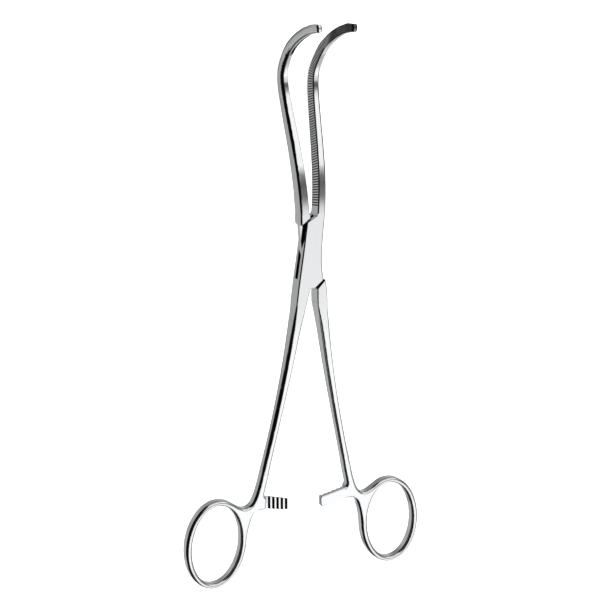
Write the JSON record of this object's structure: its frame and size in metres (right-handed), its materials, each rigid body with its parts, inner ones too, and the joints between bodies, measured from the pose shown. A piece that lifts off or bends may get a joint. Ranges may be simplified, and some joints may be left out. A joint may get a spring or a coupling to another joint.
{
  "type": "kidney pedicle clamp",
  "caption": "Ring-handled kidney pedicle clamp with a box lock, a ratchet and long double-curved jaws with cross serrations.",
  "frame": {"origin": "on the axis of the lock pin, half way through the thickness of the box lock", "axes": "+Z along the lock pin towards the face seen in the picture, the side to which the jaw tips curve; +Y from the pin to the jaws, half way between them; +X towards the jaw of the female half"},
  "size_m": [0.1046, 0.2251, 0.035],
  "materials": {
    "steel": "polished stainless steel"
  },
  "bodies": {
    "female": {"female_half": "steel", "lock_pin": "steel"},
    "male": {"male_half": "steel"}
  },
  "joints": [
    {"name": "box_lock_hinge", "type": "hinge", "parent": "female", "child": "male", "pos_m": [0, 0, 0], "axis": [0, 0, 1], "range_deg": [-7.85, 65]}
  ]
}
